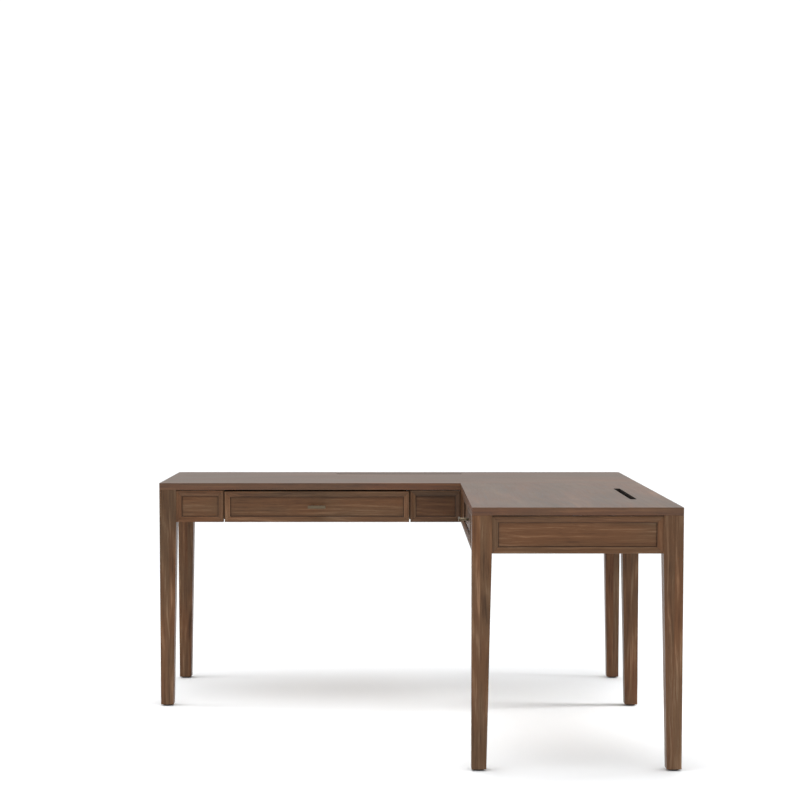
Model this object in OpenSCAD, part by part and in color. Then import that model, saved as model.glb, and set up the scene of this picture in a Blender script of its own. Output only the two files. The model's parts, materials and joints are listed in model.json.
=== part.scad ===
// Corner desk in walnut-coloured wood.
// A main wing and a return wing meet in an L. Each wing carries one drawer
// between framed fixed panels. Six legs taper on their two inner faces.
// Frame: +Z up, floor at Z = 0, origin under the middle of the L's square.
// The main wing runs along X at the back, the return wing along Y at the right.

/* [Overall] */
// Outer length of each side of the L
side_len = 1625; // [1560:5:1700]
// Depth of each wing
wing_d = 605; // [590:5:630]
// Height of the working surface
desk_h = 762; // [720:1:780]
// Thickness of the top boards
top_t = 23; // [20:0.5:28]
// Hairline joint between the two top boards
seam = 0.4; // [0.2:0.1:1]

/* [Legs] */
// Width of a leg beside the aprons
leg_top = 57; // [52:1:62]
// Width of a leg at the floor
leg_foot = 43; // [38:1:50]
// Height of the glide under each leg
glide_h = 5; // [3:0.5:8]
// Diameter of the glide under each leg
glide_d = 33; // [26:1:36]

/* [Aprons] */
// Height of the aprons and fixed panels
apron_h = 107; // [100:1:115]
// Shadow gap between framed aprons and top
apron_gap = 2.5; // [1.5:0.5:4]
// Set-back of the apron faces from the leg faces
face_in = 1.5; // [0.5:0.5:3]
// Thickness of the board behind a moulding
core_t = 14; // [12:1:16]
// Width of the framed end panel beside the leg
end_panel = 160; // [140:5:180]
// Width of the framed panel at the inner corner
corner_panel = 169.5; // [160:0.5:180]

/* [Mouldings] */
// Width of the mitred moulding
mould_w = 18.5; // [16:0.5:22]
// Depth of the mitred moulding
mould_t = 9; // [6:0.5:10]
// Width of the flat outer land of the moulding
mould_land = 6; // [4:0.5:8]
// Drop of the sloping face of the moulding
mould_drop = 4.5; // [3:0.5:5.5]

/* [Drawers] */
// Gap between a drawer front and the fixed panels
front_gap = 4; // [2:0.5:5]
// Extra gap above a drawer front
head_gap = 3; // [2:0.5:5]
// Length of a drawer box, front to back
box_len = 450; // [400:10:450]
// Height of a drawer box
box_h = 80; // [70:1:84]
// Thickness of the drawer box sides
box_t = 12; // [11:1:14]
// Thickness of the drawer bottom
bottom_t = 6; // [4:0.5:7]
// Room for one slide beside a drawer box
slide_room = 13; // [12.7:0.1:13.5]
// Height of the outer slide member
slide_h = 45; // [40:1:46]

/* [Pulls] */
// Length of the bar pull
pull_len = 60; // [54:1:80]
// Height of the bar pull
pull_h = 10; // [9:0.5:13]
// Thickness of the bar
pull_t = 6; // [5:0.5:8]
// Reach of the bar in front of the moulding face
pull_out = 24; // [20:1:30]
// Spacing of the pull's posts
pull_pitch = 32; // [28:1:40]
// Diameter of the pull's posts
post_d = 7; // [6:0.5:8]

/* [Cable slots] */
// Length of each cable slot
slot_len = 460; // [440:5:520]
// Width of each cable slot
slot_w = 21; // [14:0.5:24]
// Distance from the wall edge of the top to the slot's centre line
slot_in = 106; // [95:1:115]

/* [Hidden] */
hw = side_len / 2;
xi = hw - wing_d;
zt = desk_h - top_t;
za = zt - apron_gap;
zb = za - apron_h;
fy = xi + face_in;
my = fy + mould_t;
cy = my + core_t;
ai = face_in + mould_t + core_t;
run0 = -hw + leg_top;
dx0 = run0 + end_panel + front_gap;
dx1 = xi - corner_panel - front_gap;
dxc = (dx0 + dx1) / 2;
dzt = za - head_gap;
pull_z = (zb + dzt) / 2 + 0.5;
hang_t = 18;
bx0 = dx0 - 0.5 + slide_room;
bx1 = dx1 + 0.5 - slide_room;
bz0 = zb + 12.5;
bz1 = bz0 + box_h;
bz_floor = bz0 + 7;
by1 = cy + box_len;
groove = 6;
sz = (bz0 + bz1) / 2;
blk_c = 100;
blk_w = 34;
blk_z0 = zb + 28;
blk_z1 = blk_z0 + 60;
bolt_z = (blk_z0 + blk_z1) / 2;
bolt_r = 4;
pin_r = 3;
screw_r = 1.75;
in_rail = 22;

walnut = [0.36, 0.24, 0.17];
walnut_light = [0.42, 0.29, 0.20];
birch = [0.72, 0.58, 0.42];
steel = [0.62, 0.63, 0.64];
nickel = [0.50, 0.47, 0.41];
black = [0.06, 0.06, 0.06];

// The return wing is the main wing mirrored across the diagonal.
module diag() { mirror([1, -1, 0]) children(); }

// Places a piece drawn at an outer corner: leg faces on x = 0 and y = 0.
module at_front_left() { translate([-hw, xi, 0]) children(); }
module at_back_left() { translate([-hw, hw, 0]) mirror([0, 1, 0]) children(); }
module at_back_right() { translate([hw, hw, 0]) rotate([0, 0, 180]) children(); }
module at_mid_right() { translate([hw, xi, 0]) mirror([1, 0, 0]) children(); }
module at_return_left() { translate([xi, -hw, 0]) children(); }
module at_return_right() { translate([hw, -hw, 0]) mirror([1, 0, 0]) children(); }
module at_all_corners() {
  at_front_left() children();
  at_back_left() children();
  at_back_right() children();
  at_mid_right() children();
  at_return_left() children();
  at_return_right() children();
}

// Flat board between two corners.
module board(x0, x1, y0, y1, z0, z1) {
  translate([x0, y0, z0]) cube([x1 - x0, y1 - y0, z1 - z0]);
}

// A ring of mitred moulding, face on y = 0 looking towards -Y, from x0 to x1.
module moulding(x0, x1, z0, z1) {
  difference() {
    board(x0, x1, 0, mould_t, z0, z1);
    board(x0 + mould_w, x1 - mould_w, -1, mould_t + 1, z0 + mould_w, z1 - mould_w);
    intersection() {
      translate([0, 0, z0 - 1]) linear_extrude(height = z1 - z0 + 2)
        polygon([[x0 + mould_land, -0.001], [x1 - mould_land, -0.001],
                 [x1 - mould_w, mould_drop], [x0 + mould_w, mould_drop]]);
      translate([x0 - 1, 0, 0]) rotate([90, 0, 90]) linear_extrude(height = x1 - x0 + 2)
        polygon([[-0.001, z0 + mould_land], [-0.001, z1 - mould_land],
                 [mould_drop, z1 - mould_w], [mould_drop, z0 + mould_w]]);
    }
  }
}

// One leg: two plumb faces, two faces tapered below the aprons.
module leg_body() {
  run = zb - glide_h;
  a = atan((leg_top - leg_foot) / run);
  difference() {
    translate([0, 0, glide_h]) cube([leg_top, leg_top, zt - glide_h]);
    translate([leg_top, -1, zb]) rotate([0, a, 0]) translate([0, 0, -run - 20])
      cube([40, leg_top + 2, run + 20]);
    translate([-1, leg_top, zb]) rotate([-a, 0, 0]) translate([0, 0, -run - 20])
      cube([leg_top + 2, 40, run + 20]);
    translate([leg_foot / 2, leg_foot / 2, glide_h - 1]) cylinder(r = pin_r, h = 26, $fn = 24);
    translate([34, 34, bolt_z]) rotate([0, 90, 45]) cylinder(r = bolt_r, h = 60, $fn = 24);
  }
}

module main_top() color(walnut) difference() {
  board(-hw, hw, xi, hw, zt, desk_h);
  slot_cut(0);
  bracket_pilots();
}
module return_top() color(walnut) difference() {
  board(xi, hw, -hw, xi - seam, zt, desk_h);
  diag() slot_cut(dxc);
  bracket_pilots();
}
// Cable slot with rounded ends, along X near the back edge.
module slot_cut(xc) {
  y = hw - slot_in;
  h = (slot_len - slot_w) / 2;
  board(xc - h, xc + h, y - slot_w / 2, y + slot_w / 2, zt - 1, desk_h + 1);
  for (s = [-1, 1]) translate([xc + s * h, y, zt - 1])
    cylinder(r = slot_w / 2, h = top_t + 2, $fn = 32);
}

module leg_front_left() color(walnut) at_front_left() leg_body();
module leg_back_left() color(walnut) at_back_left() leg_body();
module leg_back_right() color(walnut) at_back_right() leg_body();
module leg_mid_right() color(walnut) at_mid_right() leg_body();
module leg_return_left() color(walnut) at_return_left() leg_body();
module leg_return_right() color(walnut) at_return_right() leg_body();

module foot_glides() color(black) at_all_corners() glide();
module glide() {
  translate([leg_foot / 2, leg_foot / 2, 0]) rotate_extrude($fn = 32)
    polygon([[0, 0], [glide_d / 2 - 1.5, 0], [glide_d / 2, 1.5], [glide_d / 2, glide_h],
             [pin_r, glide_h], [pin_r, glide_h + 24], [0, glide_h + 24]]);
}

// Framed outer face of the main wing's left end.
module left_face() { translate([-hw + face_in, 0, 0]) rotate([0, 0, -90]) children(); }
module left_apron() color(walnut) difference() {
  board(-hw + face_in + mould_t, -hw + ai, xi + leg_top, hw - leg_top, zb, za);
  bracket_pilots();
}
module left_moulding() color(walnut) left_face()
  moulding(-(hw - leg_top), -(xi + leg_top), zb, za);

// Plain aprons along the walls, which reach the underside of the tops.
module back_apron() color(walnut) difference() {
  board(-hw + leg_top, hw - leg_top, hw - ai, hw - face_in, zb, zt);
  bracket_pilots();
}
module right_apron_main() color(walnut) difference() {
  board(hw - ai, hw - face_in, xi + leg_top, hw - leg_top, zb, zt);
  bracket_pilots();
}
module right_apron_return() color(walnut) difference() {
  board(hw - ai, hw - face_in, -hw + leg_top, xi, zb, zt);
  bracket_pilots();
}

// Framed face at the return's free end.
module return_front_panel() color(walnut) difference() {
  board(xi + leg_top, hw - leg_top, -hw + face_in + mould_t, -hw + ai, zb, za);
  bracket_pilots();
}
module return_front_moulding() color(walnut) translate([0, -hw + face_in, 0])
  moulding(xi + leg_top, hw - leg_top, zb, za);

// Fixed framed panels beside the drawers.
module end_core() { board(run0, run0 + end_panel, my, cy, zb, za); }
module end_frame() { translate([0, fy, 0]) moulding(run0, run0 + end_panel, zb, za); }
module main_end_panel() color(walnut) end_core();
module main_end_moulding() color(walnut) end_frame();
module main_corner_panel() color(walnut) board(xi - corner_panel, fy, my, cy, zb, za);
module main_corner_moulding() color(walnut) translate([0, fy, 0])
  moulding(xi - corner_panel, fy, zb, za);
module return_end_panel() color(walnut) diag() end_core();
module return_end_moulding() color(walnut) diag() end_frame();
module return_corner_panel() color(walnut) diag() board(xi - corner_panel, xi, my, cy, zb, za);
module return_corner_moulding() color(walnut) diag() translate([0, fy, 0])
  moulding(xi - corner_panel, xi, zb, za);

// Rails that carry the bolts between the two wings.
module main_inner_rail() color(walnut_light) difference() {
  board(fy, hw - leg_top, xi, xi + in_rail, zb, za);
  joining_holes();
  bracket_pilots();
}
module return_joining_rail() color(walnut_light) difference() {
  board(cy, hw - ai, xi - in_rail, xi, zb, za);
  joining_holes();
  bracket_pilots();
}
module joining_at() { for (x = [xi + 130, xi + 290, xi + 450]) translate([x, xi, bolt_z]) children(); }
module joining_holes() {
  joining_at() rotate([90, 0, 0]) translate([0, 0, -in_rail - 1])
    cylinder(r = bolt_r, h = 2 * in_rail + 2, $fn = 24);
}
module joining_bolts() color(steel) joining_at() rotate([90, 0, 0]) {
  translate([0, 0, -in_rail - 12]) cylinder(r = bolt_r, h = 2 * in_rail + 12, $fn = 24);
  translate([0, 0, in_rail]) cylinder(r = 6.5, h = 5.5, $fn = 6);
}
module joining_nut_set() joining_at() rotate([90, 0, 0]) difference() {
  translate([0, 0, -in_rail - 6.5]) cylinder(r = 7.5, h = 6.5, $fn = 6);
  translate([0, 0, -in_rail - 8]) cylinder(r = bolt_r, h = 10, $fn = 24);
}

// Boards that carry the drawer slides, under the top.
module hanger_low() { board(bx0 - slide_room - hang_t, bx0 - slide_room, cy, hw - ai, zb + 8, zt); }
module hanger_high() { board(bx1 + slide_room, bx1 + slide_room + hang_t, cy, hw - ai, zb + 8, zt); }
module main_hanger_left() color(walnut_light) hanger_low();
module main_hanger_right() color(walnut_light) difference() {
  hanger_high();
  board(bx1, bx1 + slide_room + hang_t + 5, hw - slot_in - 16, hw - slot_in + 16, zt - 30, zt + 1);
}
module return_hanger_front() color(walnut_light) diag() hanger_low();
module return_hanger_back() color(walnut_light) diag() hanger_high();

// Diagonal blocks that pull the legs into the aprons.
module corner_block() {
  difference() {
    translate([0, 0, blk_z0]) linear_extrude(height = blk_z1 - blk_z0)
      polygon([[ai, blk_c], [blk_c, ai], [blk_c + blk_w, ai], [ai, blk_c + blk_w]]);
    translate([34, 34, bolt_z]) rotate([0, 90, 45]) cylinder(r = bolt_r + 0.4, h = 100, $fn = 24);
  }
}
module corner_blocks() color(walnut_light) at_all_corners() corner_block();
blk_far = (ai + blk_c + blk_w) / sqrt(2);
bolt_start = 34 * sqrt(2);
module leg_bolt() {
  rotate([0, 0, 45]) translate([bolt_start, 0, bolt_z]) rotate([0, 90, 0])
    cylinder(r = bolt_r, h = blk_far - bolt_start + 14, $fn = 24);
}
module leg_bolts() color(steel) at_all_corners() leg_bolt();
module leg_nut() {
  rotate([0, 0, 45]) translate([blk_far, 0, bolt_z]) rotate([0, 90, 0]) difference() {
    union() {
      cylinder(r = 11, h = 1.6, $fn = 32);
      translate([0, 0, 1.6]) cylinder(r = 7.5, h = 6.5, $fn = 6);
    }
    translate([0, 0, -1]) cylinder(r = bolt_r, h = 12, $fn = 24);
  }
}
module hex_nuts() color(steel) { at_all_corners() leg_nut(); joining_nut_set(); }

// Steel angle brackets between aprons and tops.
brk_w = 25;
brk_l = 28;
brk_t = 1.5;
module brackets_at() {
  for (x = [-420, 220, 600]) translate([x, hw - ai, 0]) rotate([0, 0, 180]) children();
  translate([-hw + ai, (xi + hw) / 2, 0]) rotate([0, 0, -90]) children();
  translate([hw - ai, (xi + hw) / 2, 0]) rotate([0, 0, 90]) children();
  for (y = [-300, 120]) translate([hw - ai, y, 0]) rotate([0, 0, 90]) children();
  translate([(xi + hw) / 2, -hw + ai, 0]) children();
  translate([(xi + hw) / 2, xi + in_rail, 0]) children();
  translate([xi + 210, xi - in_rail, 0]) rotate([0, 0, 180]) children();
}
module bracket() {
  difference() {
    union() {
      board(-brk_w / 2, brk_w / 2, 0, brk_t, zt - brk_l, zt);
      board(-brk_w / 2, brk_w / 2, 0, brk_l, zt - brk_t, zt);
    }
    bracket_shanks();
  }
}
module bracket_shanks() {
  translate([0, 17, zt - 3]) cylinder(r = screw_r, h = 15, $fn = 16);
  translate([0, 3, zt - 17]) rotate([90, 0, 0]) cylinder(r = screw_r, h = 15, $fn = 16);
}
module bracket_heads() {
  translate([0, 17, zt - brk_t - 2.2]) cylinder(r = 3.8, h = 2.2, $fn = 24);
  translate([0, brk_t + 2.2, zt - 17]) rotate([90, 0, 0]) cylinder(r = 3.8, h = 2.2, $fn = 24);
}
module bracket_pilots() { brackets_at() bracket_shanks(); }
module top_brackets() color(steel) brackets_at() bracket();
module bracket_screws() color(steel) brackets_at() { bracket_shanks(); bracket_heads(); }

// Telescopic slide members, drawn from the hanger face (u = 0) to the box (u = slide_room).
module member(u_web, u_end, half, y0, y1, flip) {
  t = 1.2;
  uw = flip ? slide_room - u_web - t : u_web;
  ua = flip ? slide_room - u_end : u_web;
  ub = flip ? slide_room - u_web : u_end;
  board(uw, uw + t, y0, y1, sz - half, sz + half);
  board(ua, ub, y0, y1, sz + half - t, sz + half);
  board(ua, ub, y0, y1, sz - half, sz - half + t);
}
module outer_member() { member(0, 9.5, slide_h / 2, cy + 4, cy + box_len, false); }
module middle_member() { member(4.5, 10.5, slide_h / 2 - 5, cy + 8, cy + box_len - 6, false); }
module inner_member() { member(0, 5.5, slide_h / 2 - 10.5, cy + 4, cy + box_len, true); }
module pair() {
  translate([bx0 - slide_room, 0, 0]) children();
  translate([bx1 + slide_room, 0, 0]) mirror([1, 0, 0]) children();
}
module main_slide_outer() color(steel) pair() outer_member();
module main_slide_middle() color(steel) pair() middle_member();
module main_slide_inner() color(steel) pair() inner_member();
module return_slide_outer() color(steel) diag() pair() outer_member();
module return_slide_middle() color(steel) diag() pair() middle_member();
module return_slide_inner() color(steel) diag() pair() inner_member();

// Drawer pieces.
module pull_holes(y0, y1) {
  for (s = [-1, 1]) translate([dxc + s * pull_pitch / 2, y1, pull_z]) rotate([90, 0, 0])
    cylinder(r = 2, h = y1 - y0, $fn = 24);
}
module d_front() difference() {
  board(dx0, dx1, my, cy, zb, dzt);
  pull_holes(my - 1, cy + 1);
}
module d_moulding() { translate([0, fy, 0]) moulding(dx0, dx1, zb, dzt); }
module d_side() difference() {
  board(bx0, bx0 + box_t, cy, by1, bz0, bz1);
  board(bx0 + box_t - groove, bx0 + box_t + 1, cy - 1, by1 + 1, bz_floor, bz_floor + bottom_t);
}
module d_side_far() { translate([bx0 + bx1, 0, 0]) mirror([1, 0, 0]) d_side(); }
module d_box_front() difference() {
  board(bx0 + box_t, bx1 - box_t, cy, cy + box_t, bz0, bz1);
  board(bx0, bx1, cy + box_t - groove, cy + box_t + 1, bz_floor, bz_floor + bottom_t);
  pull_holes(cy - 1, cy + box_t + 1);
}
module d_back() { board(bx0 + box_t, bx1 - box_t, by1 - box_t, by1, bz_floor + bottom_t, bz1); }
module d_bottom() {
  board(bx0 + box_t - groove + 0.5, bx1 - box_t + groove - 0.5,
        cy + box_t - groove + 0.5, by1, bz_floor, bz_floor + bottom_t);
}
// Bar pull on two round posts that stand on the flat centre panel.
module d_pull() {
  difference() {
    union() {
      board(dxc - pull_len / 2, dxc + pull_len / 2, fy - pull_out, fy - pull_out + pull_t,
            pull_z - pull_h / 2, pull_z + pull_h / 2);
      for (s = [-1, 1]) translate([dxc + s * pull_pitch / 2, my, pull_z]) rotate([90, 0, 0])
        cylinder(r = post_d / 2, h = my - fy + pull_out - pull_t / 2, $fn = 32);
    }
    pull_holes(my - 16, my + 1);
  }
}
module d_screws() {
  for (s = [-1, 1]) translate([dxc + s * pull_pitch / 2, cy + box_t, pull_z]) rotate([90, 0, 0]) {
    cylinder(r = 2, h = cy + box_t - my + 15, $fn = 24);
    translate([0, 0, -2.4]) cylinder(r = 4, h = 2.4, $fn = 24);
  }
}

module main_drawer_front() color(walnut) d_front();
module main_drawer_moulding() color(walnut) d_moulding();
module main_drawer_box_front() color(birch) d_box_front();
module main_drawer_side_left() color(birch) d_side();
module main_drawer_side_right() color(birch) d_side_far();
module main_drawer_back() color(birch) d_back();
module main_drawer_bottom() color(birch) d_bottom();
module main_pull() color(nickel) d_pull();
module main_pull_screws() color(steel) d_screws();

module return_drawer_front() color(walnut) diag() d_front();
module return_drawer_moulding() color(walnut) diag() d_moulding();
module return_drawer_box_front() color(birch) diag() d_box_front();
module return_drawer_side_front() color(birch) diag() d_side();
module return_drawer_side_back() color(birch) diag() d_side_far();
module return_drawer_back() color(birch) diag() d_back();
module return_drawer_bottom() color(birch) diag() d_bottom();
module return_pull() color(nickel) diag() d_pull();
module return_pull_screws() color(steel) diag() d_screws();

main_top();
return_top();
leg_front_left();
leg_back_left();
leg_back_right();
leg_mid_right();
leg_return_left();
leg_return_right();
foot_glides();
left_apron();
left_moulding();
back_apron();
right_apron_main();
right_apron_return();
return_front_panel();
return_front_moulding();
main_end_panel();
main_end_moulding();
main_corner_panel();
main_corner_moulding();
return_end_panel();
return_end_moulding();
return_corner_panel();
return_corner_moulding();
main_inner_rail();
return_joining_rail();
main_hanger_left();
main_hanger_right();
return_hanger_front();
return_hanger_back();
corner_blocks();
leg_bolts();
joining_bolts();
hex_nuts();
top_brackets();
bracket_screws();
main_slide_outer();
main_slide_middle();
main_slide_inner();
main_drawer_front();
main_drawer_moulding();
main_drawer_box_front();
main_drawer_side_left();
main_drawer_side_right();
main_drawer_back();
main_drawer_bottom();
main_pull();
main_pull_screws();
return_slide_outer();
return_slide_middle();
return_slide_inner();
return_drawer_front();
return_drawer_moulding();
return_drawer_box_front();
return_drawer_side_front();
return_drawer_side_back();
return_drawer_back();
return_drawer_bottom();
return_pull();
return_pull_screws();
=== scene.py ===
import json
import math
import bpy
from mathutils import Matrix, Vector


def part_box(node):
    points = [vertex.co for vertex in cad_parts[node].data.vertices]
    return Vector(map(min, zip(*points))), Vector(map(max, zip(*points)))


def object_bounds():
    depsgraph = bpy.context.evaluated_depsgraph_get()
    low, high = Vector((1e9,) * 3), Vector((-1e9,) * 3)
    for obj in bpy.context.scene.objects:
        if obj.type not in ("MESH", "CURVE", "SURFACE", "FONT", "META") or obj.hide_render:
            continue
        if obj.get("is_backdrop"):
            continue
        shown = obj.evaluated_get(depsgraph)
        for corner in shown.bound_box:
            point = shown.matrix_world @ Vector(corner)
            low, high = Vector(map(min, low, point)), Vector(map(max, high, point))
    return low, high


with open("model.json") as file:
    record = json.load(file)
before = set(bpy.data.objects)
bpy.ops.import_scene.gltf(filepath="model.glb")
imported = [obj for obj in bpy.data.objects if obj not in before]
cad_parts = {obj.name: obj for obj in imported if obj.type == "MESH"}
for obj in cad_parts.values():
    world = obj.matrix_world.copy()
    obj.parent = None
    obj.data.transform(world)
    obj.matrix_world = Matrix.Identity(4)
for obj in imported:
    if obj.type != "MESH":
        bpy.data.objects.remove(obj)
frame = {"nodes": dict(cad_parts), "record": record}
bpy.context.view_layer.update()
NODES = frame["nodes"]
REC = frame["record"]


# ---------------------------------------------------------------- node helpers
class Tree:
    """Small helper that adds shader nodes and joins them."""

    def __init__(self, mat):
        mat.use_nodes = True
        self.t = mat.node_tree
        self.t.nodes.clear()
        self.out = self.t.nodes.new("ShaderNodeOutputMaterial")

    def new(self, kind, **props):
        n = self.t.nodes.new(kind)
        for k, v in props.items():
            setattr(n, k, v)
        return n

    def put(self, sock, v):
        if isinstance(v, bpy.types.NodeSocket):
            self.t.links.new(v, sock)
        elif v is not None:
            sock.default_value = v

    def math(self, op, a, b=None, c=None, clamp=False):
        n = self.new("ShaderNodeMath", operation=op, use_clamp=clamp)
        for i, v in enumerate((a, b, c)):
            if v is not None:
                self.put(n.inputs[i], v)
        return n.outputs[0]

    def vmath(self, op, a, b=None):
        n = self.new("ShaderNodeVectorMath", operation=op)
        self.put(n.inputs[0], a)
        if b is not None:
            self.put(n.inputs[1], b)
        return n.outputs[0]

    def combine(self, x, y, z):
        n = self.new("ShaderNodeCombineXYZ")
        for i, v in enumerate((x, y, z)):
            self.put(n.inputs[i], v)
        return n.outputs[0]

    def noise(self, vec, detail=3.0, rough=0.55, scale=1.0, distortion=0.0):
        n = self.new("ShaderNodeTexNoise")
        self.put(n.inputs["Vector"], vec)
        n.inputs["Scale"].default_value = scale
        n.inputs["Detail"].default_value = detail
        n.inputs["Roughness"].default_value = rough
        n.inputs["Distortion"].default_value = distortion
        return n.outputs[0]

    def ramp(self, fac, stops, interp="LINEAR"):
        n = self.new("ShaderNodeValToRGB")
        r = n.color_ramp
        r.interpolation = interp
        while len(r.elements) < len(stops):
            r.elements.new(0.5)
        for e, (p, c) in zip(r.elements, stops):
            e.position = p
            e.color = (*c, 1.0) if len(c) == 3 else c
        self.put(n.inputs[0], fac)
        return n.outputs[0]

    def mixc(self, fac, a, b, mode="MIX"):
        n = self.new("ShaderNodeMix", data_type="RGBA", blend_type=mode)
        self.put(n.inputs[0], fac)
        self.put(n.inputs[6], a)
        self.put(n.inputs[7], b)
        return n.outputs[2]

    def remap(self, v, a, b, c, d, smooth=True):
        n = self.new("ShaderNodeMapRange")
        n.interpolation_type = "SMOOTHSTEP" if smooth else "LINEAR"
        self.put(n.inputs[0], v)
        for i, x in enumerate((a, b, c, d)):
            n.inputs[i + 1].default_value = x
        return n.outputs[0]

    def principled(self, **vals):
        n = self.new("ShaderNodeBsdfPrincipled")
        for k, v in vals.items():
            self.put(n.inputs[k.replace("_", " ")], v)
        self.t.links.new(n.outputs[0], self.out.inputs[0])
        return n

    def bump(self, height, strength, distance):
        n = self.new("ShaderNodeBump")
        n.inputs["Strength"].default_value = strength
        n.inputs["Distance"].default_value = distance
        self.put(n.inputs["Height"], height)
        return n.outputs[0]


def seeded(i):
    """Three repeatable offsets for piece number i."""
    return [((i * k) % 97) / 97.0 * 7.0 + 1.3 for k in (37, 59, 83)]


WALNUT = ((0.0420, 0.0175, 0.0068), (0.1130, 0.0535, 0.0235), (0.2150, 0.1200, 0.0640))
FRAME = ((0.0900, 0.0500, 0.0270), (0.1600, 0.0960, 0.0550), (0.2300, 0.1480, 0.0900))
BIRCH = ((0.3400, 0.2250, 0.1300), (0.4800, 0.3400, 0.2100), (0.5800, 0.4350, 0.2900))


def wood(name, along, seed, shades=WALNUT, tone=1.0, contrast=1.0, rough=0.42,
         mitre=None, end_axis=None, edge=False, spec=0.22, pith=None, lipping_and_painted_shade=None, strips=(), painted_light_drift=None, ring=0.16,
         slot=None, painted_crease_shade=None):
    """Wood with its grain along one axis of the row frame.
    mitre = (length axis, x0, x1, z0, z1) turns the grain in the ends of a mitred ring.
    The lipping tone (r, g, b) is for the solid lippings on the four edges of a top, grain along each edge; it lifts
    their side faces above the top face, whose darker tone is painted shade.
    strips = (axis, position, tone) for the glue lines between the staves of a leg.
    The leg tone drift (z0, tone0, z1, tone1) lets the wood's tone drift along a leg; it is painted light and shade.
    slot = (x0, x1, y0, y1) is where a cable slot's routed walls are painted near-black as painted shade inside the
    slot.
    A moulding's ring (length axis, x0, x1, z0, z1, width) gets painted shade: a dark band along its inner edge, where
    the step down to the panel is shaded."""
    m = bpy.data.materials.new(name)
    t = Tree(m)
    co = t.new("ShaderNodeTexCoord").outputs["Object"]
    sep = t.new("ShaderNodeSeparateXYZ")
    t.put(sep.inputs[0], co)
    xyz = sep.outputs
    ax = "XYZ".index(along)
    others = [i for i in (0, 1, 2) if i != ax]
    u, v, w = xyz[ax], xyz[others[0]], xyz[others[1]]
    joint = None
    if lipping_and_painted_shade:
        ns = t.new("ShaderNodeSeparateXYZ")
        t.put(ns.inputs[0], t.new("ShaderNodeTexCoord").outputs["Normal"])
        other = "Y" if along == "X" else "X"
        turn = t.math("GREATER_THAN", t.math("ABSOLUTE", ns.outputs[ax]), 0.7)
        keep = t.math("SUBTRACT", 1.0, turn)
        b = xyz["XYZ".index(other)]
        u, v = (t.math("ADD", t.math("MULTIPLY", u, keep), t.math("MULTIPLY", b, turn)),
                t.math("ADD", t.math("MULTIPLY", v, keep), t.math("MULTIPLY", u, turn)))
        side = t.math("LESS_THAN", t.math("ABSOLUTE", ns.outputs[2]), 0.7)
        u = t.math("ADD", u, t.math("MULTIPLY", side, 2.9))
    stave_and_painted_light = None
    for n, (sax, pos, stone) in enumerate(strips):
        step = t.math("GREATER_THAN", xyz["XYZ".index(sax)], pos)
        u = t.math("ADD", u, t.math("MULTIPLY", step, 1.9 + n))
        w = t.math("ADD", w, t.math("MULTIPLY", step, 0.37 + 0.21 * n))
        k1 = t.math("ADD", 1.0, t.math("MULTIPLY", step, stone - 1.0))
        stave_and_painted_light = k1 if stave_and_painted_light is None else t.math("MULTIPLY", stave_and_painted_light, k1)
    if mitre:
        la, x0, x1, z0, z1 = mitre
        L, Z = xyz["XYZ".index(la)], xyz[2]
        D = xyz[1 if la == "X" else 0]
        dx = t.math("MINIMUM", t.math("SUBTRACT", L, x0), t.math("SUBTRACT", x1, L))
        dz = t.math("MINIMUM", t.math("SUBTRACT", Z, z0), t.math("SUBTRACT", z1, Z))
        diff = t.math("SUBTRACT", dx, dz)
        stile = t.math("LESS_THAN", diff, 0.0)
        far = t.math("GREATER_THAN", L, (x0 + x1) / 2)
        low = t.math("LESS_THAN", Z, (z0 + z1) / 2)
        u = t.math("ADD", t.math("MULTIPLY", L, t.math("SUBTRACT", 1.0, stile)), t.math("MULTIPLY", Z, stile))
        v = t.math("ADD", t.math("MULTIPLY", Z, t.math("SUBTRACT", 1.0, stile)), t.math("MULTIPLY", L, stile))
        piece = t.math("ADD", t.math("MULTIPLY", stile, t.math("ADD", 0.7, t.math("MULTIPLY", far, 0.83))),
                       t.math("MULTIPLY", t.math("SUBTRACT", 1.0, stile), t.math("MULTIPLY", low, 0.57)))
        u = t.math("ADD", u, t.math("MULTIPLY", piece, 3.1))
        w = t.math("ADD", D, t.math("MULTIPLY", piece, 1.7))
        joint = t.remap(t.math("ABSOLUTE", diff), 0.0001, 0.0007, 1.0, 0.0)
    o = seeded(seed)
    u = t.math("ADD", u, o[0])
    # slow wander of the grain
    wander = t.noise(t.combine(t.math("MULTIPLY", u, 1.7), t.math("MULTIPLY", v, 3.0),
                               t.math("MULTIPLY", w, 3.0)), detail=2.0)
    wv = t.math("MULTIPLY", t.math("SUBTRACT", wander, 0.5), 0.055)
    v2 = t.math("ADD", v, wv)
    w2 = t.math("ADD", w, t.math("MULTIPLY", wv, 0.6))
    # growth rings seen along a board that leans against the trunk's axis
    pv, pw, lean = pith or (0.11 + 0.05 * o[1] / 8.3, 0.19 + 0.03 * o[2] / 8.3, 0.020)
    dv = t.math("ADD", v2, pv - 0.3)
    dw = t.math("ADD", t.math("ADD", w2, pw), t.math("MULTIPLY", t.math("SUBTRACT", u, o[0]), lean))
    rad = t.math("SQRT", t.math("ADD", t.math("MULTIPLY", dv, dv), t.math("MULTIPLY", dw, dw)))
    ringn = t.noise(t.combine(t.math("MULTIPLY", u, 2.2), t.math("MULTIPLY", v2, 30.0),
                              t.math("MULTIPLY", w2, 30.0)), detail=3.0)
    phase = t.math("ADD", t.math("MULTIPLY", rad, 2 * math.pi * 62.0), t.math("MULTIPLY", ringn, 9.0))
    rings = t.math("MULTIPLY", t.math("ADD", t.math("SINE", phase), 1.0), 0.5)
    rings = t.math("POWER", rings, 1.6)
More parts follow.
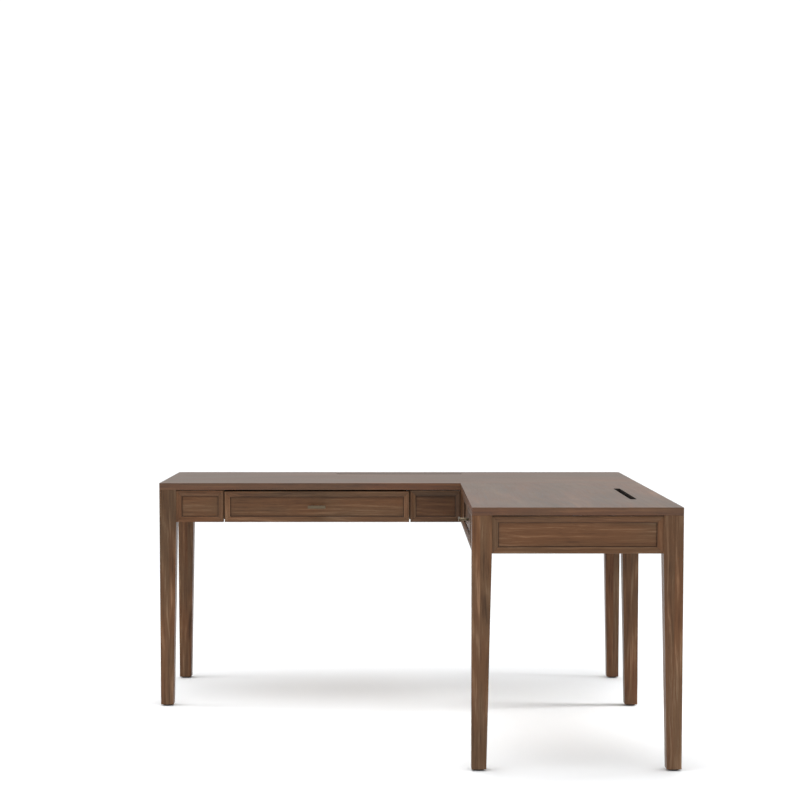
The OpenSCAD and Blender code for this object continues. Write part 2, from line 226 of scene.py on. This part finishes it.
    # bands, streaks, fine fibres, pores
    band = t.noise(t.combine(t.math("MULTIPLY", u, 1.3), t.math("MULTIPLY", v2, 15.0),
                             t.math("MULTIPLY", w2, 15.0)), detail=3.0)
    streak = t.noise(t.combine(t.math("MULTIPLY", u, 4.6), t.math("MULTIPLY", v2, 150.0),
                               t.math("MULTIPLY", w2, 150.0)), detail=4.0, rough=0.65)
    fibre = t.noise(t.combine(t.math("MULTIPLY", u, 22.0), t.math("MULTIPLY", v2, 620.0),
                              t.math("MULTIPLY", w2, 620.0)), detail=2.0)
    mottle = t.noise(t.combine(t.math("MULTIPLY", u, 9.0), t.math("MULTIPLY", v, 16.0),
                               t.math("MULTIPLY", w, 16.0)), detail=2.0)
    poren = t.noise(t.combine(t.math("MULTIPLY", u, 48.0), t.math("MULTIPLY", v2, 1150.0),
                              t.math("MULTIPLY", w2, 1150.0)), detail=1.0)
    pores = t.remap(poren, 0.66, 0.76, 0.0, 1.0)
    s = t.math("MULTIPLY", t.math("SUBTRACT", rings, 0.4), ring * contrast)
    s = t.math("ADD", s, t.math("MULTIPLY", t.math("SUBTRACT", band, 0.5), 0.85 * contrast))
    s = t.math("ADD", s, t.math("MULTIPLY", t.math("SUBTRACT", streak, 0.5), 1.20 * contrast))
    s = t.math("ADD", s, t.math("MULTIPLY", t.math("SUBTRACT", fibre, 0.5), 0.42 * contrast))
    s = t.math("ADD", s, t.math("MULTIPLY", t.math("SUBTRACT", mottle, 0.5), 0.30 * contrast))
    s = t.math("ADD", s, 0.5, clamp=True)
    k = tone * (1.14 if edge else 1.0)
    dark, mid, light = [tuple(c * k for c in sh) for sh in shades]
    col = t.ramp(s, [(0.0, dark), (0.5, mid), (1.0, light)], "EASE")
    col = t.mixc(t.math("MULTIPLY", pores, 0.45), col, (*[c * 0.55 for c in dark], 1.0))
    hue = t.noise(t.combine(t.math("MULTIPLY", u, 2.6), t.math("MULTIPLY", v2, 11.0),
                            t.math("MULTIPLY", w2, 11.0)), detail=2.0)
    hue = t.remap(hue, 0.32, 0.68, 0.0, 1.0)
    col = t.vmath("MULTIPLY", col, t.mixc(hue, (1.09, 0.98, 0.90, 1.0), (0.93, 1.03, 1.12, 1.0)))
    if joint is not None:
        col = t.mixc(t.math("MULTIPLY", joint, 0.75), col, (*[c * 0.35 for c in dark], 1.0))
    # painted shade: the top face keeps a darker tone than its side faces, which this factor lifts back
    if lipping_and_painted_shade:
        painted_lip_tone = [t.math("ADD", 1.0, t.math("MULTIPLY", side, c - 1.0)) for c in lipping_and_painted_shade]
        col = t.vmath("MULTIPLY", col, t.combine(*painted_lip_tone))
    # painted shade: the walls of the cable slot are painted near-black, standing in for the shade inside it
    if slot:
        painted_slot_shade = t.math("MULTIPLY", side, t.math("GREATER_THAN", xyz[0], slot[0]))
        painted_slot_shade = t.math("MULTIPLY", painted_slot_shade, t.math("LESS_THAN", xyz[0], slot[1]))
        painted_slot_shade = t.math("MULTIPLY", painted_slot_shade, t.math("GREATER_THAN", xyz[1], slot[2]))
        painted_slot_shade = t.math("MULTIPLY", painted_slot_shade, t.math("LESS_THAN", xyz[1], slot[3]))
        col = t.mixc(painted_slot_shade, col, (0.012, 0.008, 0.006, 1.0))
    # painted shade: a dark band along the moulding's inner edge, standing in for the shade of the step down to the
    # panel
    if painted_crease_shade:
        cl, cx0, cx1, cz0, cz1, cw = painted_crease_shade
        ce = xyz["XYZ".index(cl)]
        cdx = t.math("MINIMUM", t.math("SUBTRACT", ce, cx0), t.math("SUBTRACT", cx1, ce))
        cdz = t.math("MINIMUM", t.math("SUBTRACT", xyz[2], cz0), t.math("SUBTRACT", cz1, xyz[2]))
        cd = t.math("SUBTRACT", t.math("MINIMUM", cdx, cdz), cw)
        cd = t.math("ADD", cd, t.math("MULTIPLY", t.math("SUBTRACT", mottle, 0.5), 0.0008))
        painted_crease_mask = t.math("MULTIPLY", t.remap(cd, -0.0014, -0.0004, 0.0, 1.0), t.remap(cd, 0.0008, 0.0028, 1.0, 0.0))
        col = t.mixc(t.math("MULTIPLY", painted_crease_mask, 0.62), col, (*[c * 0.45 for c in dark], 1.0))
    # painted light and shade: the tone drifts along a leg from foot to apron, standing in for how much light reaches
    # each height
    if painted_light_drift:
        drift = t.math("ADD", xyz[2], t.math("MULTIPLY", t.math("SUBTRACT", band, 0.5), 0.25))
        drift = t.remap(drift, painted_light_drift[0], painted_light_drift[2], painted_light_drift[1], painted_light_drift[3])
        stave_and_painted_light = drift if stave_and_painted_light is None else t.math("MULTIPLY", stave_and_painted_light, drift)
    if stave_and_painted_light is not None:
        col = t.vmath("MULTIPLY", col, t.combine(stave_and_painted_light, stave_and_painted_light, stave_and_painted_light))
    if end_axis is not None:  # end grain is darker and flatter
        tcn = t.new("ShaderNodeTexCoord").outputs["Normal"]
        ns = t.new("ShaderNodeSeparateXYZ")
        t.put(ns.inputs[0], tcn)
        e = t.math("ABSOLUTE", ns.outputs["XYZ".index(end_axis)])
        e = t.remap(e, 0.7, 0.95, 0.0, 1.0)
        dots = t.noise(t.vmath("MULTIPLY", co, (900.0, 900.0, 900.0)), detail=1.0)
        endc = t.ramp(dots, [(0.3, tuple(c * 0.8 for c in dark)), (0.7, tuple(c * 0.78 for c in mid))])
        col = t.mixc(e, col, endc)
    r = t.math("ADD", rough - (0.05 if edge else 0.0), t.math("MULTIPLY", t.math("SUBTRACT", streak, 0.5), 0.16))
    r = t.math("ADD", r, t.math("MULTIPLY", pores, 0.12))
    smear = t.noise(t.vmath("MULTIPLY", co, (5.0, 5.0, 5.0)), detail=3.0)
    r = t.math("ADD", r, t.math("MULTIPLY", t.math("SUBTRACT", smear, 0.5), 0.06), clamp=True)
    h = t.math("ADD", t.math("MULTIPLY", fibre, 0.35), t.math("MULTIPLY", streak, 0.55))
    h = t.math("SUBTRACT", h, t.math("MULTIPLY", pores, 0.9))
    if joint is not None:
        h = t.math("SUBTRACT", h, t.math("MULTIPLY", joint, 1.5))
    t.principled(Base_Color=col, Roughness=r, IOR=1.5, Specular_IOR_Level=spec,
                 Normal=t.bump(h, 0.35, 0.00025))
    return m


def metal(name, colour, rough, brush, axis, wear):
    """Plated or brushed metal with fine lines along one axis."""
    m = bpy.data.materials.new(name)
    t = Tree(m)
    co = t.new("ShaderNodeTexCoord").outputs["Object"]
    sc = [brush, brush, brush]
    sc["XYZ".index(axis)] = brush * 0.03
    lines = t.noise(t.vmath("MULTIPLY", co, tuple(sc)), detail=3.0, rough=0.65)
    cloud = t.noise(t.vmath("MULTIPLY", co, (70.0, 70.0, 70.0)), detail=3.0)
    spots = t.remap(t.noise(t.vmath("MULTIPLY", co, (420.0, 420.0, 420.0)), detail=2.0), 0.62, 0.74, 0.0, 1.0)
    a = t.mixc(lines, (*[c * 0.80 for c in colour], 1.0), (*[min(1.0, c * 1.2) for c in colour], 1.0))
    a = t.mixc(t.math("MULTIPLY", t.remap(cloud, 0.35, 0.7, 0.0, 1.0), 0.35), a, (*[c * 0.72 for c in colour], 1.0))
    a = t.mixc(t.math("MULTIPLY", spots, wear), a, (*[c * 0.45 for c in colour], 1.0))
    r = t.math("ADD", rough, t.math("MULTIPLY", t.math("SUBTRACT", lines, 0.5), 0.22))
    r = t.math("ADD", r, t.math("MULTIPLY", spots, 0.15), clamp=True)
    h = t.math("SUBTRACT", lines, t.math("MULTIPLY", spots, 0.5))
    t.principled(Base_Color=a, Metallic=1.0, Roughness=r, Normal=t.bump(h, 0.25, 0.00008))
    return m


def plastic(name, colour, rough):
    """Moulded plastic with a fine texture and scuffs."""
    m = bpy.data.materials.new(name)
    t = Tree(m)
    co = t.new("ShaderNodeTexCoord").outputs["Object"]
    grain = t.noise(t.vmath("MULTIPLY", co, (1400.0, 1400.0, 1400.0)), detail=2.0)
    scuff = t.remap(t.noise(t.vmath("MULTIPLY", co, (160.0, 160.0, 420.0)), detail=4.0), 0.55, 0.75, 0.0, 1.0)
    a = t.mixc(t.math("MULTIPLY", scuff, 0.5), (*colour, 1.0), (*[c * 2.2 for c in colour], 1.0))
    r = t.math("ADD", rough, t.math("MULTIPLY", scuff, 0.15), clamp=True)
    t.principled(Base_Color=a, Roughness=r, Normal=t.bump(grain, 0.3, 0.0001))
    return m


# ---------------------------------------------------------------- softened edges
def soften(o, width, segments=2, shortest=0.004, angle=25.0):
    """Rounds the long sharp edges of a CAD node with modifiers, leaving its own mesh as it is."""
    me = o.data
    key = {}
    ids = []
    for vert in me.vertices:
        k = tuple(round(c * 1e5) for c in vert.co)
        ids.append(key.setdefault(k, len(key)))
    normals = {}
    for p in me.polygons:
        vs = [ids[i] for i in p.vertices]
        for a, b in zip(vs, vs[1:] + vs[:1]):
            if a != b:
                normals.setdefault((min(a, b), max(a, b)), []).append(p.normal.copy())
    lim = math.cos(math.radians(angle))
    layer = me.attributes.get("bevel_weight_edge") or me.attributes.new("bevel_weight_edge", "FLOAT", "EDGE")
    n = 0
    for e in me.edges:
        a, b = e.vertices
        long = (me.vertices[a].co - me.vertices[b].co).length
        ns = normals.get((min(ids[a], ids[b]), max(ids[a], ids[b])), [])
        sharp = len(ns) >= 2 and min(p.dot(q) for p in ns for q in ns) < lim
        on = sharp and long > shortest
        layer.data[e.index].value = 1.0 if on else 0.0
        n += on
    w = o.modifiers.new("weld", "WELD")
    w.merge_threshold = 0.00001
    b = o.modifiers.new("soft_edges", "BEVEL")
    b.width = width
    b.segments = segments
    b.limit_method = "WEIGHT"
    b.use_clamp_overlap = False
    b.harden_normals = False
    b.miter_outer = "MITER_SHARP"
    if len(me.materials) > 1:
        b.material = 1
    return n


def dress(node, mats, width=None, **kw):
    o = NODES[node]
    o.data.materials.clear()
    for m in mats:
        o.data.materials.append(m)
    for p in o.data.polygons:
        p.material_index = 0
    if width:
        soften(o, width, **kw)


def board(node, along, seed, width, shades=WALNUT, tone=1.0, end=None, mitre=None, contrast=1.0,
          rough=0.42, pith=None, spec=0.22, lipping_and_painted_shade=None, strips=(), painted_light_drift=None, ring=0.16,
          slot=None, painted_crease_shade=None, **kw):
    a = wood("wood_" + node, along, seed, shades, tone, contrast, rough, mitre, end, False, spec, pith, lipping_and_painted_shade, strips, painted_light_drift, ring,
             slot, painted_crease_shade)
    b = wood("edge_" + node, along, seed, shades, tone, contrast, rough, mitre, None, True, spec, pith, lipping_and_painted_shade, strips, painted_light_drift, ring,
             slot, painted_crease_shade)
    dress(node, [a, b], width, **kw)


# ---------------------------------------------------------------- wood pieces
# the tops' low tone (0.68) is painted shade on the top faces; the lipping factor lifts their side faces back up
board("main_top", "X", 3, 0.0006, tone=0.68, rough=0.40, lipping_and_painted_shade=(1.27, 1.00, 0.70), contrast=0.9, spec=0.5,
      slot=(-0.235, 0.235, 0.69, 0.722))
board("return_top", "Y", 8, 0.0006, tone=0.68, rough=0.40, lipping_and_painted_shade=(1.27, 1.00, 0.70), contrast=0.9, spec=0.5,
      slot=(0.69, 0.722, -0.515, -0.043))

# name: seed, tone, drift of tone from the foot to the apron (painted light and shade, as bright as each leg looks lit
# at foot and head), lean of the rings
legs = {"leg_front_left": (11, 1.02, (1.10, 0.88), 0.075), "leg_back_left": (14, 1.06, (1.04, 0.98), -0.06),
        "leg_back_right": (17, 1.00, (1.06, 0.94), 0.05), "leg_mid_right": (21, 0.93, (1.02, 0.90), -0.085),
        "leg_return_left": (26, 1.08, (0.96, 1.14), 0.09), "leg_return_right": (31, 1.04, (1.12, 0.88), -0.07)}
for name, (seed, tone, (foot, head), lean) in legs.items():
    lo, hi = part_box(name)
    cut = lo[0] + (0.35 + 0.3 * ((seed * 7) % 10) / 10.0) * (hi[0] - lo[0])
    cut2 = lo[1] + (0.35 + 0.3 * ((seed * 3) % 10) / 10.0) * (hi[1] - lo[1])
    board(name, "Z", seed, 0.0011, tone=tone, end="Z", painted_light_drift=(0.15, foot, 0.70, head), ring=0.24,
          pith=(0.3 - lo[0] + 0.02, 0.03 - lo[1], lean),
          strips=(("X", cut, 0.90 + 0.02 * (seed % 11)), ("Y", cut2, 1.08 - 0.02 * (seed % 9))))

for name, along, seed, tone in (
        ("back_apron", "X", 40, 0.98), ("right_apron_main", "Y", 43, 0.98), ("right_apron_return", "Y", 46, 1.0)):
    board(name, along, seed, 0.0012, tone=tone)

MOULD_W = 0.0185


def ring_of(moulding, la):
    lo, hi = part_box(moulding)
    i = "XYZ".index(la)
    return (la, lo[i], hi[i], lo[2], hi[2], MOULD_W)


# main_corner_panel, return_end_panel, return_corner_panel and return_drawer_front get darker tones (0.64-0.68) as
# painted shade of the inner corner, where the return wing blocks the light
for name, along, seed, tone in (
        ("left_apron", "Y", 51, 1.0), ("return_front_panel", "X", 54, 1.06),
        ("main_end_panel", "X", 57, 1.08), ("main_corner_panel", "X", 60, 0.64),
        ("return_end_panel", "Y", 63, 0.68), ("return_corner_panel", "Y", 66, 0.64),
        ("main_drawer_front", "X", 69, 1.02), ("return_drawer_front", "Y", 72, 0.68)):
    pair = name.replace("_panel", "_moulding").replace("_apron", "_moulding").replace("drawer_front", "drawer_moulding")
    board(name, along, seed, None, tone=tone, painted_crease_shade=ring_of(pair, along))

# the corner, return end and return drawer mouldings get darker tones (0.66-0.70) as painted shade of the inner corner
for name, la, seed, tone in (
        ("left_moulding", "Y", 81, 1.0), ("return_front_moulding", "X", 84, 1.04),
        ("main_end_moulding", "X", 87, 0.97), ("main_corner_moulding", "X", 90, 0.66),
        ("return_end_moulding", "Y", 93, 0.70), ("return_corner_moulding", "Y", 96, 0.66),
        ("main_drawer_moulding", "X", 99, 0.97), ("return_drawer_moulding", "Y", 102, 0.70)):
    lo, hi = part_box(name)
    i = "XYZ".index(la)
    board(name, la, seed, 0.0006, tone=tone, mitre=(la, lo[i], hi[i], lo[2], hi[2]), painted_crease_shade=ring_of(name, la))

for name, along, seed in (
        ("main_inner_rail", "X", 111), ("return_joining_rail", "X", 114),
        ("main_hanger_left", "Y", 117), ("main_hanger_right", "Y", 120),
        ("return_hanger_front", "X", 123), ("return_hanger_back", "X", 126), ("corner_blocks", "X", 129)):
    board(name, along, seed, 0.001, shades=FRAME, contrast=0.8, rough=0.6)

for name, along, seed in (
        ("main_drawer_box_front", "X", 131), ("main_drawer_side_left", "Y", 134),
        ("main_drawer_side_right", "Y", 137), ("main_drawer_back", "X", 140), ("main_drawer_bottom", "X", 143),
        ("return_drawer_box_front", "Y", 146), ("return_drawer_side_front", "X", 149),
        ("return_drawer_side_back", "X", 152), ("return_drawer_back", "Y", 155), ("return_drawer_bottom", "Y", 158)):
    board(name, along, seed, 0.0008, shades=BIRCH, contrast=0.6, rough=0.5)

# ---------------------------------------------------------------- metal and plastic pieces
PULL = (0.148, 0.115, 0.077)
dress("main_pull", [metal("pull_main", PULL, 0.34, 900.0, "X", 0.25),
                    metal("pull_main_edge", tuple(c * 1.35 for c in PULL), 0.28, 900.0, "X", 0.1)], 0.0010, shortest=0.005)
dress("return_pull", [metal("pull_return", PULL, 0.34, 900.0, "Y", 0.25),
                      metal("pull_return_edge", tuple(c * 1.35 for c in PULL), 0.28, 900.0, "Y", 0.1)], 0.0010, shortest=0.005)
zinc_x = metal("zinc_x", (0.56, 0.57, 0.59), 0.36, 700.0, "X", 0.35)
zinc_y = metal("zinc_y", (0.56, 0.57, 0.59), 0.36, 700.0, "Y", 0.35)
bolt = metal("zinc_bolt", (0.52, 0.52, 0.53), 0.42, 1200.0, "Z", 0.5)
for name in ("main_slide_outer", "main_slide_middle", "main_slide_inner"):
    dress(name, [zinc_y])
for name in ("return_slide_outer", "return_slide_middle", "return_slide_inner"):
    dress(name, [zinc_x])
for name in ("leg_bolts", "joining_bolts", "hex_nuts", "top_brackets", "bracket_screws",
             "main_pull_screws", "return_pull_screws"):
    dress(name, [bolt])
dress("foot_glides", [plastic("glide_black", (0.018, 0.017, 0.016), 0.5)])

# ---------------------------------------------------------------- floor, light, camera
scene = bpy.context.scene
mesh = bpy.data.meshes.new("floor")
S = 60.0
mesh.from_pydata([(-S, -S, 0), (S, -S, 0), (S, S, 0), (-S, S, 0)], [], [(0, 1, 2, 3)])
floor = bpy.data.objects.new("floor", mesh)
scene.collection.objects.link(floor)
fm = bpy.data.materials.new("floor_paint")
t = Tree(fm)
t.principled(Base_Color=(0.882, 0.898, 0.912, 1.0), Roughness=0.9, Specular_IOR_Level=0.1)
mesh.materials.append(fm)
floor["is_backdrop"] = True

# studio dome: brightest overhead, dimmer towards the horizon, plain white where the camera looks past the floor
SKY_LOW, SKY_HIGH = 0.67, 1.70
world = bpy.data.worlds.new("studio")
scene.world = world
world.use_nodes = True
wt = world.node_tree
wt.nodes.clear()


def wnode(kind, **props):
    n = wt.nodes.new(kind)
    for k, v in props.items():
        setattr(n, k, v)
    return n


wdir = wnode("ShaderNodeTexCoord")
wsep = wnode("ShaderNodeSeparateXYZ")
wt.links.new(wdir.outputs["Generated"], wsep.inputs[0])
wup = wnode("ShaderNodeMath", operation="MAXIMUM")
wt.links.new(wsep.outputs[2], wup.inputs[0])
wup.inputs[1].default_value = 0.0
wsq = wnode("ShaderNodeMath", operation="MULTIPLY")
wt.links.new(wup.outputs[0], wsq.inputs[0])
wt.links.new(wup.outputs[0], wsq.inputs[1])
wq4 = wnode("ShaderNodeMath", operation="MULTIPLY")
wt.links.new(wsq.outputs[0], wq4.inputs[0])
wt.links.new(wsq.outputs[0], wq4.inputs[1])
wst = wnode("ShaderNodeMath", operation="MULTIPLY_ADD")
wt.links.new(wq4.outputs[0], wst.inputs[0])
wst.inputs[1].default_value = SKY_HIGH
wst.inputs[2].default_value = SKY_LOW
dome = wnode("ShaderNodeBackground")
dome.inputs[0].default_value = (1.0, 1.0, 1.0, 1.0)
wt.links.new(wst.outputs[0], dome.inputs[1])
backdrop = wnode("ShaderNodeBackground")
backdrop.inputs[0].default_value = (1.0, 1.0, 1.0, 1.0)
backdrop.inputs[1].default_value = 1.1
path = wnode("ShaderNodeLightPath")
wmix = wnode("ShaderNodeMixShader")
wt.links.new(path.outputs["Is Camera Ray"], wmix.inputs[0])
wt.links.new(dome.outputs[0], wmix.inputs[1])
wt.links.new(backdrop.outputs[0], wmix.inputs[2])
wout = wnode("ShaderNodeOutputWorld")
wt.links.new(wmix.outputs[0], wout.inputs[0])


def area(name, loc, target, size, power, spread=180.0, colour=(1, 1, 1)):
    d = bpy.data.lights.new(name, "AREA")
    d.shape = "RECTANGLE"
    d.size, d.size_y = size
    d.energy = power
    d.color = colour
    d.spread = math.radians(spread)
    o = bpy.data.objects.new(name, d)
    scene.collection.objects.link(o)
    o.location = loc
    o.rotation_mode = "QUATERNION"
    o.rotation_quaternion = (Vector(target) - Vector(loc)).to_track_quat("-Z", "Y")
    return o


area("top_soft", (0.1, -0.25, 3.2), (0.1, -0.25, 0.0), (2.6, 2.4), 40)
area("fill_right", (2.7, 0.25, 1.9), (0.55, 0.08, 0.0), (0.7, 0.7), 2.6, spread=34)
area("fill_left", (-2.7, 0.5, 1.6), (-0.7, 0.5, 0.0), (0.8, 0.8), 1.4, spread=50)

cam = bpy.data.cameras.new("camera")
cam.sensor_width = 36.0
cam.lens = 1910.481 / 800.0 * 36.0
cam.shift_x = (400.0 - 398.116) / 800.0
cam.shift_y = (480.0 - 400.0) / 800.0
cam.clip_start, cam.clip_end = 0.1, 200.0
co = bpy.data.objects.new("camera", cam)
scene.collection.objects.link(co)
co.location = ((808.873 - 812.5) / 1000.0, (-5432.438 - 812.5) / 1000.0, 1.202141)
co.rotation_euler = (math.pi / 2 - 0.06647, 0.0, 0.0)
scene.camera = co
scene.view_settings.view_transform = "Standard"
scene.view_settings.look = "None"

bpy.context.view_layer.update()
lo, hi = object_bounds()
